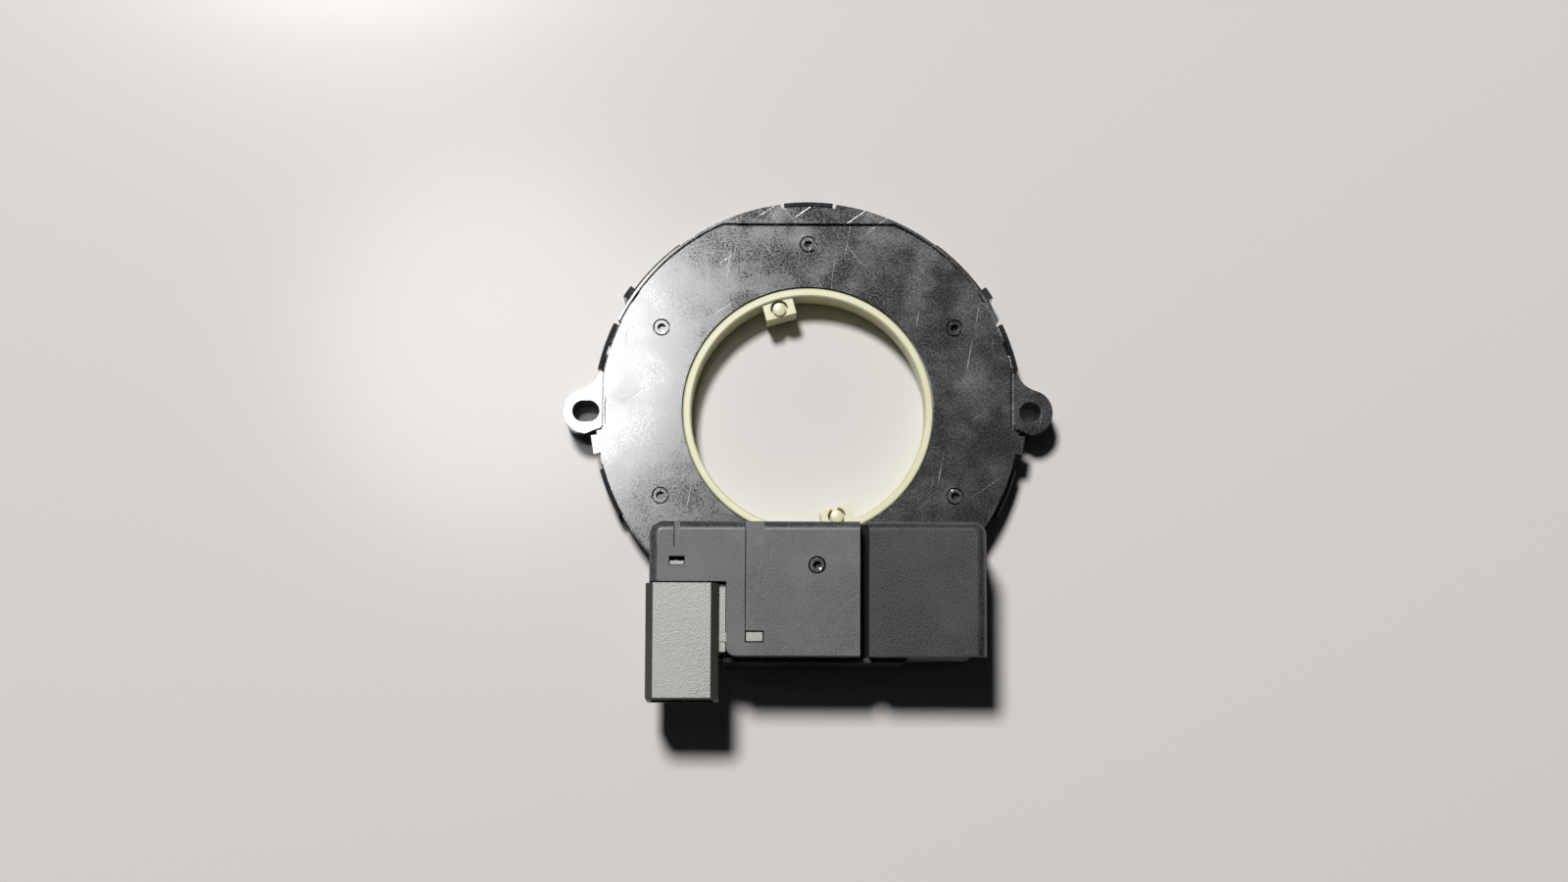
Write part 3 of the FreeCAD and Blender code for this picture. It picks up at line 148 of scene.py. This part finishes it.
@dataclass(frozen=True)
class MouldedPlastic:
    """An opaque moulded plastic with the grain of its mould and light wear."""

    name: str
    colour: str
    worn_colour: str
    roughness: float
    grain: Grain
    grain_mm: float
    grain_depth_mm: float
    scratches: float
    ior: float
    shine: float = 0.5
    mottle_mm: float = 0.35
    mottle: float = 0.3
    scratch_colour: str = "#6e6e72"

    def build(self) -> bpy.types.Material:
        """Makes the material.

        Returns:
            The plastic with grain, cloudy wear and hairline scratches.
        """
        material, shader = new_material(self.name)
        tree = material.node_tree
        place = add_node(tree, "ShaderNodeTexCoord").outputs["Object"]
        # Handling leaves soft clouds some 12 mm wide, where the skin is duller
        clouds = add_node(tree, "ShaderNodeTexNoise", Vector=place, Scale=1 / (12 * MM),
                          Detail=4.0, Roughness=0.6)
        # A fine mottle of the skin, a few tenths of a millimetre wide
        mottle = add_node(tree, "ShaderNodeTexNoise", Vector=place,
                          Scale=1 / (self.mottle_mm * MM), Detail=2.0, Roughness=0.7)
        scratch = self.add_scratches(tree, place)
        wear = add_node(tree, "ShaderNodeMapRange", n0=clouds.outputs["Fac"],
                        n1=0.42, n2=0.72, n3=0.0, n4=0.55)
        speck = add_node(tree, "ShaderNodeMapRange", n0=mottle.outputs["Fac"],
                         n1=0.38, n2=0.66, n3=0.0, n4=self.mottle)
        both = add_node(tree, "ShaderNodeMath", {"operation": "ADD", "use_clamp": True},
                        n0=wear.outputs[0], n1=speck.outputs[0])
        skin = add_node(tree, "ShaderNodeMix", {"data_type": "RGBA"},
                        n0=both.outputs[0], n6=linear_colour(self.colour),
                        n7=linear_colour(self.worn_colour))
        colour = add_node(tree, "ShaderNodeMix", {"data_type": "RGBA"}, n0=scratch,
                          n6=skin.outputs[2], n7=linear_colour(self.scratch_colour))
        tree.links.new(colour.outputs[2], shader.inputs["Base Color"])
        rough = add_node(tree, "ShaderNodeMapRange", n0=both.outputs[0], n1=0.0, n2=0.8,
                         n3=self.roughness - 0.05, n4=self.roughness + 0.09)
        tree.links.new(rough.outputs[0], shader.inputs["Roughness"])
        shader.inputs["IOR"].default_value = self.ior
        shader.inputs["Specular IOR Level"].default_value = self.shine
        tree.links.new(self.add_grain(tree, place, scratch), shader.inputs["Normal"])
        return material

    def add_scratches(self, tree: bpy.types.NodeTree,
                      place: bpy.types.NodeSocket) -> bpy.types.NodeSocket:
        """Adds hairline scratches in three directions.

        Args:
            tree: The material's nodes.
            place: The object coordinates.

        Returns:
            The strength of the scratches, from 0 to 1.
        """
        total = None
        for turn, length_mm, width_mm in ((35, 26, 0.11), (-50, 17, 0.09), (80, 21, 0.1)):
            mapped = add_node(tree, "ShaderNodeMapping", {"vector_type": "TEXTURE"},
                              Vector=place, Rotation=(0.0, 0.0, math.radians(turn)),
                              Scale=(length_mm * MM, width_mm * 4 * MM, 30 * MM))
            lines = add_node(tree, "ShaderNodeTexNoise", Vector=mapped.outputs[0],
                             Scale=1.0, Detail=1.0, Distortion=0.15)
            # Only the highest crests of the stretched noise show, as thin lines
            thin = add_node(tree, "ShaderNodeMapRange", n0=lines.outputs["Fac"],
                            n1=0.74, n2=0.8, n3=0.0, n4=self.scratches)
            if total is None:
                total = thin.outputs[0]
            else:
                total = add_node(tree, "ShaderNodeMath", {"operation": "MAXIMUM"},
                                 n0=total, n1=thin.outputs[0]).outputs[0]
        return total

    def add_grain(self, tree: bpy.types.NodeTree, place: bpy.types.NodeSocket,
                  scratch: bpy.types.NodeSocket) -> bpy.types.NodeSocket:
        """Adds the relief of the mould's finish and of the scratches.

        Args:
            tree: The material's nodes.
            place: The object coordinates.
            scratch: The strength of the scratches.

        Returns:
            The normal for the shader.
        """
        if self.grain is Grain.SPARKED:
            # Spark erosion leaves round overlapping craters
            relief = add_node(tree, "ShaderNodeTexVoronoi", {"feature": "SMOOTH_F1"},
                              Vector=place, Scale=1 / (self.grain_mm * MM),
                              Smoothness=0.4).outputs["Distance"]
        else:
            relief = add_node(tree, "ShaderNodeTexNoise", Vector=place,
                              Scale=1 / (self.grain_mm * MM), Detail=3.0,
                              Roughness=0.65).outputs["Fac"]
        fine = add_node(tree, "ShaderNodeBump", Strength=0.6,
                        Distance=self.grain_depth_mm * MM, Height=relief)
        cut = add_node(tree, "ShaderNodeBump", {"invert": True}, Strength=0.5,
                       Distance=0.02 * MM, Height=scratch, Normal=fine.outputs[0])
        return cut.outputs[0]


@dataclass(frozen=True)
class NaturalNylon:
    """Unpigmented nylon: creamy, slightly yellow and translucent."""

    name: str
    colour: str
    deep_colour: str
    roughness: float

    def build(self) -> bpy.types.Material:
        """Makes the material.

        Returns:
            The nylon, with light that spreads about 2 mm under its skin.
        """
        material, shader = new_material(self.name)
        tree = material.node_tree
        place = add_node(tree, "ShaderNodeTexCoord").outputs["Object"]
        # Flow of the melt gives faint clouds about 9 mm wide
        flow = add_node(tree, "ShaderNodeTexNoise", Vector=place, Scale=1 / (9 * MM),
                        Detail=3.0, Roughness=0.55)
        shade = add_node(tree, "ShaderNodeMapRange", n0=flow.outputs["Fac"], n1=0.35,
                         n2=0.7, n3=0.0, n4=0.6)
        colour = add_node(tree, "ShaderNodeMix", {"data_type": "RGBA"},
                          n0=shade.outputs[0], n6=linear_colour(self.colour),
                          n7=linear_colour(self.deep_colour))
        tree.links.new(colour.outputs[2], shader.inputs["Base Color"])
        shader.inputs["Roughness"].default_value = self.roughness
        shader.inputs["IOR"].default_value = 1.53
        shader.inputs["Subsurface Weight"].default_value = 0.35
        shader.inputs["Subsurface Radius"].default_value = (1.0, 0.95, 0.5)
        shader.inputs["Subsurface Scale"].default_value = 1.6 * MM
        # The polished mould still leaves a faint orange peel, 0.5 mm wide
        peel = add_node(tree, "ShaderNodeTexNoise", Vector=place, Scale=1 / (0.5 * MM),
                        Detail=2.0)
        bump = add_node(tree, "ShaderNodeBump", Strength=0.35, Distance=0.015 * MM,
                        Height=peel.outputs["Fac"])
        tree.links.new(bump.outputs[0], shader.inputs["Normal"])
        return material


@dataclass(frozen=True)
class PlainMetal:
    """A bare or plated metal with the fine marks of how it was made."""

    name: str
    colour: str
    roughness: float
    mark_mm: float

    def build(self) -> bpy.types.Material:
        """Makes the material.

        Returns:
            The metal, with roughness that varies along its marks.
        """
        material, shader = new_material(self.name)
        tree = material.node_tree
        place = add_node(tree, "ShaderNodeTexCoord").outputs["Object"]
        shader.inputs["Base Color"].default_value = linear_colour(self.colour)
        shader.inputs["Metallic"].default_value = 1.0
        marks = add_node(tree, "ShaderNodeTexNoise", Vector=place,
                         Scale=1 / (self.mark_mm * MM), Detail=3.0)
        rough = add_node(tree, "ShaderNodeMapRange", n0=marks.outputs["Fac"], n1=0.3,
                         n2=0.7, n3=self.roughness - 0.06, n4=self.roughness + 0.08)
        tree.links.new(rough.outputs[0], shader.inputs["Roughness"])
        bump = add_node(tree, "ShaderNodeBump", Strength=0.3, Distance=0.006 * MM,
                        Height=marks.outputs["Fac"])
        tree.links.new(bump.outputs[0], shader.inputs["Normal"])
        return material


@dataclass(frozen=True)
class BoardLaminate:
    """Glass laminate under green solder mask, with tracks that show through."""

    name: str
    mask: str
    track: str
    roughness: float
    track_mm: float

    def build(self) -> bpy.types.Material:
        """Makes the material.

        Returns:
            The board's skin, lighter where copper lies under the mask.
        """
        material, shader = new_material(self.name)
        tree = material.node_tree
        place = add_node(tree, "ShaderNodeTexCoord").outputs["Object"]
        # Tracks run along X and Y, in blocks four track widths apart
        blocks = add_node(tree, "ShaderNodeTexBrick",
                          {"offset": 0.35, "offset_frequency": 2}, Vector=place,
                          Scale=1 / (self.track_mm * 10 * MM), Mortar_Size=0.04,
                          Color1=(0.0, 0.0, 0.0, 1.0), Color2=(0.0, 0.0, 0.0, 1.0),
                          Mortar=(1.0, 1.0, 1.0, 1.0))
        colour = add_node(tree, "ShaderNodeMix", {"data_type": "RGBA"},
                          n0=blocks.outputs["Color"], n6=linear_colour(self.mask),
                          n7=linear_colour(self.track))
        tree.links.new(colour.outputs[2], shader.inputs["Base Color"])
        shader.inputs["Roughness"].default_value = self.roughness
        shader.inputs["IOR"].default_value = 1.55
        # The weave of the glass cloth, 0.45 mm apart, shows as faint relief
        weave = add_node(tree, "ShaderNodeTexNoise", Vector=place,
                         Scale=1 / (0.45 * MM), Detail=1.0)
        first = add_node(tree, "ShaderNodeBump", Strength=0.3, Distance=0.01 * MM,
                         Height=weave.outputs["Fac"])
        second = add_node(tree, "ShaderNodeBump", Strength=0.6, Distance=0.03 * MM,
                          Height=blocks.outputs["Fac"], Normal=first.outputs[0])
        tree.links.new(second.outputs[0], shader.inputs["Normal"])
        return material


# Glass-filled PBT off a satin mould: a charcoal skin with a broad soft sheen
BLACK_SATIN = MouldedPlastic("black_glass_filled_pbt", "#262628", "#48484c", 0.15,
                             Grain.SATIN, 0.45, 0.006, 0.6, 1.57, 0.8, 0.5, 0.45)
# Its hood, off a duller part of the mould, with the same clouds and scratches
BLACK_HOOD = MouldedPlastic("black_pbt_dull_satin", "#222224", "#646468", 0.4,
                            Grain.SATIN, 0.5, 0.035, 0.7, 1.57, 0.36, 0.5, 0.7,
                            "#86868a")
# The same plastic off a spark-eroded mould: matte and finely pitted
BLACK_SPARKED = MouldedPlastic("black_pbt_spark_grain", "#141415", "#444448", 0.42,
                               Grain.SPARKED, 0.45, 0.05, 0.6, 1.57, 0.19, 0.5, 0.8)
# Painted shade: the inside of the split groove gets a near-black colour, where it lies out of
# the light
BLACK_PAINTED_SHADE = MouldedPlastic("black_pbt_groove_painted_shade", "#060606", "#0c0c0c", 0.6,
                            Grain.SATIN, 0.4, 0.01, 0.0, 1.57, 0.1)
# Grey-olive PBT of the connector, a chalky fine-grained face
OLIVE_SPARKED = MouldedPlastic("olive_pbt_spark_grain", "#5e5e56", "#94948c", 0.42,
                               Grain.SPARKED, 0.4, 0.05, 0.25, 1.57, 1.0, 0.4, 0.8,
                               "#a4a49c")
# The same moulding on the connector's sloping sides, with a smoother grain; its darker, more
# olive colour is painted shade
OLIVE_PAINTED_SHADE_SIDE = MouldedPlastic("olive_pbt_side_painted_shade", "#39382d", "#4b4a3f", 0.5,
                            Grain.SATIN, 0.4, 0.01, 0.2, 1.57, 0.4, 0.4, 0.5, "#6e6d60")
# Natural nylon 66 of the rotor, creamy and a little waxy
ROTOR_NYLON = NaturalNylon("natural_nylon_66", "#dddbb8", "#d2d09e", 0.36)
# Natural acetal of the small gears, whiter and harder to the eye
GEAR_ACETAL = NaturalNylon("natural_acetal", "#e9e8e0", "#dddcd2", 0.3)
# Sintered ferrite: dark grey, dull and slightly granular
FERRITE = MouldedPlastic("sintered_ferrite", "#39393c", "#4a4a4e", 0.55,
                         Grain.SATIN, 0.2, 0.01, 0.2, 1.9)
# Epoxy moulding compound of the chips, matte from a sparked mould
CHIP_EPOXY = MouldedPlastic("chip_epoxy", "#1f1f22", "#2c2c30", 0.55,
                            Grain.SPARKED, 0.15, 0.01, 0.1, 1.55)
# Fired ceramic of the small capacitors, tan and smooth
FIRED_CERAMIC = MouldedPlastic("fired_ceramic", "#a98b66", "#b89b78", 0.4,
                               Grain.POLISHED, 0.2, 0.005, 0.05, 1.6)
# Glazed top of the chip resistors
GLAZED_RESISTOR = MouldedPlastic("glazed_resistor", "#1b1b1e", "#28282b", 0.25,
                                 Grain.POLISHED, 0.2, 0.003, 0.05, 1.55)
TINNED_BRASS = PlainMetal("tinned_brass", "#cfc9b8", 0.28, 0.3)
DRAWN_ALUMINIUM = PlainMetal("drawn_aluminium", "#d0d2d4", 0.32, 0.6)
PRESSED_STEEL = PlainMetal("pressed_steel", "#b9babb", 0.3, 0.5)
ZINC_STEEL = PlainMetal("zinc_plated_steel", "#c2c4c8", 0.34, 0.4)
GREEN_BOARD = BoardLaminate("board_laminate", "#1d5a36", "#2f7449", 0.32, 0.25)


class Wardrobe:
    """Builds each finish once and hands it out."""

    def __init__(self) -> None:
        """Starts with nothing built."""
        self.made: dict[str, bpy.types.Material] = {}

    def get(self, finish: object) -> bpy.types.Material:
        """Gives the material of a finish.

        Args:
            finish: One of the finishes above.

        Returns:
            The material, built on first use.
        """
        if finish.name not in self.made:
            self.made[finish.name] = finish.build()
        return self.made[finish.name]


WARDROBE = Wardrobe()


def deselect_all() -> None:
    """Leaves nothing selected."""
    bpy.ops.object.select_all(action="DESELECT")


def pick(thing: bpy.types.Object) -> None:
    """Selects one object and makes it active."""
    deselect_all()
    thing.select_set(True)
    bpy.context.view_layer.objects.active = thing


def apply_modifier(thing: bpy.types.Object, kind: str, **settings: object) -> None:
    """Adds a modifier with the given settings and applies it.

    Args:
        thing: The object.
        kind: The modifier's type name.
        settings: Properties of the modifier.
    """
    pick(thing)
    modifier = thing.modifiers.new(kind.lower(), kind)
    for name, value in settings.items():
        setattr(modifier, name, value)
    bpy.ops.object.modifier_apply(modifier=modifier.name)


def dress(thing: bpy.types.Object, finish: object) -> None:
    """Gives an object one finish all over.

    Args:
        thing: The object.
        finish: One of the finishes above.
    """
    thing.data.materials.clear()
    thing.data.materials.append(WARDROBE.get(finish))
    for face in thing.data.polygons:
        face.material_index = 0


def dress_where(thing: bpy.types.Object, finish: object,
                chosen: Callable[[bpy.types.MeshPolygon], bool]) -> None:
    """Gives some faces of an object a further finish.

    Args:
        thing: The object.
        finish: One of the finishes above.
        chosen: Says whether a face gets it.
    """
    thing.data.materials.append(WARDROBE.get(finish))
    index = len(thing.data.materials) - 1
    for face in thing.data.polygons:
        if chosen(face):
            face.material_index = index


def eased_copy(node: str, name: str, width_mm: float, body: Body,
               segments: int = 2, angle: float = 32.0) -> bpy.types.Object:
    """Makes the shown piece of a CAD node: the same form with eased edges.

    Args:
        node: The CAD node.
        name: The new piece's name.
        width_mm: Width of the small round on each sharp edge.
        body: The body that it rides on.
        segments: How many faces make up the round.
        angle: Edges sharper than this many degrees are eased.

    Returns:
        The new piece, which replaces the CAD node.
    """
    source = frame["nodes"][node]
    pick(source)
    bpy.ops.object.duplicate()
    piece = bpy.context.view_layer.objects.active
    piece.name = name
    piece.data.name = name
    piece.parent = None
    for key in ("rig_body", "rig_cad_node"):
        if key in piece:
            del piece[key]
    pick(piece)
    bpy.ops.object.mode_set(mode="EDIT")
    bpy.ops.mesh.select_all(action="SELECT")
    bpy.ops.mesh.remove_doubles(threshold=0.002 * MM)
    bpy.ops.mesh.customdata_custom_splitnormals_clear()
    bpy.ops.mesh.dissolve_limited(angle_limit=math.radians(0.6))
    bpy.ops.object.mode_set(mode="OBJECT")
    apply_modifier(piece, "BEVEL", width=width_mm * MM, segments=segments,
                   limit_method="ANGLE", angle_limit=math.radians(angle),
                   use_clamp_overlap=True, harden_normals=False,
                   miter_outer="MITER_ARC")
    pick(piece)
    bpy.ops.object.shade_smooth_by_angle(angle=PIECE_SMOOTH_ANGLE)
    apply_modifier(piece, "WEIGHTED_NORMAL", mode="FACE_AREA", weight=50, keep_sharp=True)
    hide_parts(node)
    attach(piece, body.value)
    LOG.info("%s: %d faces", name, len(piece.data.polygons))
    return piece


def dress_node(node: str, finish: object) -> None:
    """Gives a CAD node its finish and smooth shading, and leaves its shape.

    Args:
        node: The CAD node.
        finish: One of the finishes above.
    """
    thing = frame["nodes"][node]
    pick(thing)
    bpy.ops.object.shade_smooth_by_angle(angle=NODE_SMOOTH_ANGLE)
    dress(thing, finish)
    LOG.info("%s: dressed", node)


@dataclass
class Shells:
    """The three black mouldings: case, cover with hood, and rear cover.

    Its lid starts at lid_z_mm, the
    right block's lid at right_block_x_mm, and groove_x_mm holds the split groove, which is
    painted near-black as shade.
    """

    edge_mm: float = 0.22
    ring_z_mm: float = 12.1
    lid_z_mm: float = 28.4
    right_block_x_mm: float = 13.5
    groove_x_mm: tuple[float, float] = (12.4, 15.0)

    def build(self) -> None:
        """Builds and dresses the three shells."""
        case = eased_copy("main_case", "case_shell", self.edge_mm, Body.HOUSING)
        dress(case, BLACK_SATIN)
        cover = eased_copy("top_cover", "cover_shell", self.edge_mm, Body.HOUSING)
        dress(cover, BLACK_SATIN)
        dress_where(cover, BLACK_HOOD, lambda face: face.center.z > self.ring_z_mm * MM)
        dress_where(cover, BLACK_SPARKED, lambda face: (
            face.center.z > self.lid_z_mm * MM
            and face.center.x > self.right_block_x_mm * MM))
        # Painted shade: the faces inside the split groove, below the lid, go near-black
        corners = cover.data.vertices
        dress_where(cover, BLACK_PAINTED_SHADE, lambda face: (
            face.center.z > self.ring_z_mm * MM and all(
                self.groove_x_mm[0] * MM < corners[i].co.x < self.groove_x_mm[1] * MM
                and corners[i].co.z < self.lid_z_mm * MM for i in face.vertices)))
        rear = eased_copy("rear_cover", "rear_shell", self.edge_mm, Body.HOUSING)
        dress(rear, BLACK_SATIN)


@dataclass
class Connector:
    """The grey-olive socket with its terminals.

    A face whose normal rises less than level_normal_z isn't the level top, and
    gets the darker olive of the sides, which is painted shade.
    """

    edge_mm: float = 0.25
    level_normal_z: float = 0.97

    def build(self) -> None:
        """Builds and dresses the socket and the terminals."""
        shell = eased_copy("connector_housing", "connector_shell", self.edge_mm,
                           Body.HOUSING)
        dress(shell, OLIVE_SPARKED)
        # Painted shade: faces that slope away from level get a darker olive
        dress_where(shell, OLIVE_PAINTED_SHADE_SIDE, lambda face: face.normal.z < self.level_normal_z)
        dress_node("connector_pins", TINNED_BRASS)


@dataclass
class RotorAndGears:
    """The nylon rotor and the two magnet gears.

    The first driving lug faces lug_angle, and a pin stands in each lug's recess.
    """

    edge_mm: float = 0.15
    lug_angle: float = 105.5
    pin_place_r_mm: float = 26.9
    pin_r_mm: float = 1.6
    pin_z_mm: tuple[float, float] = (8.5, 10.5)

    def build_lug_pin(self, number: int) -> None:
        """Stands a small pin in the recess of one driving lug.

        Args:
            number: 0 for the first lug, 1 for the one across the ring.
        """
        facing = math.radians(self.lug_angle + 180 * number)
        low, high = self.pin_z_mm
        deselect_all()
        bpy.ops.mesh.primitive_cylinder_add(
            vertices=40, radius=self.pin_r_mm * MM, depth=(high - low) * MM,
            location=(self.pin_place_r_mm * math.cos(facing) * MM,
                      self.pin_place_r_mm * math.sin(facing) * MM, (low + high) / 2 * MM))
        pin = bpy.context.view_layer.objects.active
        pin.name = f"lug_pin_{number + 1}"
        bpy.ops.object.transform_apply(location=True, rotation=True, scale=True)
        apply_modifier(pin, "BEVEL", width=self.edge_mm * MM, segments=2,
                       limit_method="ANGLE", angle_limit=math.radians(40))
        bpy.ops.object.shade_smooth_by_angle(angle=PIECE_SMOOTH_ANGLE)
        dress(pin, ROTOR_NYLON)
        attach(pin, Body.ROTOR.value)

    def build(self) -> None:
        """Builds and dresses the moving pieces."""
        for number in range(2):
            self.build_lug_pin(number)
        rotor = eased_copy("rotor", "rotor_nylon", self.edge_mm, Body.ROTOR)
        dress(rotor, ROTOR_NYLON)
        for letter in ("a", "b"):
            dress_node(f"detecting_gear_{letter}", GEAR_ACETAL)
            dress_node(f"magnet_{letter}", FERRITE)


@dataclass
class Electronics:
    """The circuit board and what is soldered on it."""

    finishes: dict[str, object] = field(default_factory=lambda: {
        "circuit_board": GREEN_BOARD,
        "angle_chip_a": CHIP_EPOXY,
        "angle_chip_b": CHIP_EPOXY,
        "microcontroller": CHIP_EPOXY,
        "bus_transceiver": CHIP_EPOXY,
        "voltage_regulator": CHIP_EPOXY,
        "memory_chip": CHIP_EPOXY,
        "crystal": PRESSED_STEEL,
        "buffer_capacitor": DRAWN_ALUMINIUM,
        "choke": FERRITE,
        "ceramic_capacitors": FIRED_CERAMIC,
        "resistors": GLAZED_RESISTOR,
        "board_screws": ZINC_STEEL,
    })

    def build(self) -> None:
        """Dresses each piece of the electronics."""
        for node, finish in self.finishes.items():
            dress_node(node, finish)


@dataclass(frozen=True)
class Lamp:
    """A round soft lamp that points at the part.

    One that doesn't light the body adds gloss only.
    """

    name: str
    at_mm: tuple[float, float, float]
    size_m: float
    watts: float
    lights_body: bool = True

    def build(self) -> bpy.types.Object:
        """Hangs the lamp.

        Returns:
            The lamp's object.
        """
        data = bpy.data.lights.new(self.name, "AREA")
        data.shape = "DISK"
        data.size = self.size_m
        data.energy = self.watts
        lamp = bpy.data.objects.new(self.name, data)
        bpy.context.scene.collection.objects.link(lamp)
        lamp.location = Vector(self.at_mm) * MM
        lamp.rotation_euler = (-lamp.location).to_track_quat("-Z", "Y").to_euler()
        lamp.visible_diffuse = self.lights_body
        return lamp


@dataclass
class Studio:
    """A pale floor, two soft lamps and a camera at the photograph's angle."""

    floor_colour: str = "#ddd9d6"
    floor_half_m: float = 3.0
    lamps: tuple[Lamp, ...] = (
        Lamp("key_lamp", (-433.0, 1051.0, 2500.0), 0.47, 74.0),
        Lamp("sheen_lamp", (-150.0, 160.0, 900.0), 0.18, 1.7, lights_body=False))
    sky_strength: float = 0.01
    look_at_mm: tuple[float, float, float] = (-5.9, -7.4, 12.0)
    elevation: float = 82.4
    distance_mm: float = 900.0
    lens_mm: float = 83.6
    roll: float = 0.2

    def build(self) -> None:
        """Builds the floor, the lights and the camera."""
        self.build_floor()
        self.build_lights()
        self.build_camera()

    def build_floor(self) -> None:
        """Lays a plain pale floor under the part."""
        deselect_all()
        bpy.ops.mesh.primitive_plane_add(size=2 * self.floor_half_m, location=(0, 0, 0))
        floor = bpy.context.view_layer.objects.active
        floor.name = "floor"
        material, shader = new_material("painted_table")
        shader.inputs["Base Color"].default_value = linear_colour(self.floor_colour)
        shader.inputs["Roughness"].default_value = 0.16
        shader.inputs["Specular IOR Level"].default_value = 0.13
        floor.data.materials.append(material)

    def build_lights(self) -> None:
        """Hangs the lamps and fills the room with even light."""
        [lamp.build() for lamp in self.lamps]
        world = bpy.data.worlds.new("room")
        bpy.context.scene.world = world
        world.use_nodes = True
        world.node_tree.nodes.clear()
        sky = add_node(world.node_tree, "ShaderNodeBackground",
                       Color=linear_colour("#f4f4f6"), Strength=self.sky_strength)
        add_node(world.node_tree, "ShaderNodeOutputWorld", Surface=sky.outputs[0])

    def build_camera(self) -> None:
        """Sets the camera at the photograph's angle and distance."""
        data = bpy.data.cameras.new("camera")
        data.sensor_width = 36.0
        data.lens = self.lens_mm
        data.clip_start = 0.01
        data.clip_end = 20.0
        camera = bpy.data.objects.new("camera", data)
        bpy.context.scene.collection.objects.link(camera)
        rise = math.radians(self.elevation)
        back = Vector((0.0, -math.cos(rise), math.sin(rise)))
        target = Vector(self.look_at_mm) * MM
        camera.location = target + back * self.distance_mm * MM
        turn = (-back).to_track_quat("-Z", "Y").to_euler()
        turn.rotate_axis("Z", math.radians(self.roll))
        camera.rotation_euler = turn
        bpy.context.scene.camera = camera


def main() -> None:
    """Builds the part and the scene round it."""
    logging.basicConfig(level=logging.INFO, format="%(name)s: %(message)s")
    parts: Iterable[object] = (Shells(), Connector(), RotorAndGears(), Electronics(), Studio())
    for part in parts:
        part.build()
    settings = bpy.context.scene.view_settings
    settings.view_transform = "Standard"


if __name__ == "__main__":
    main()
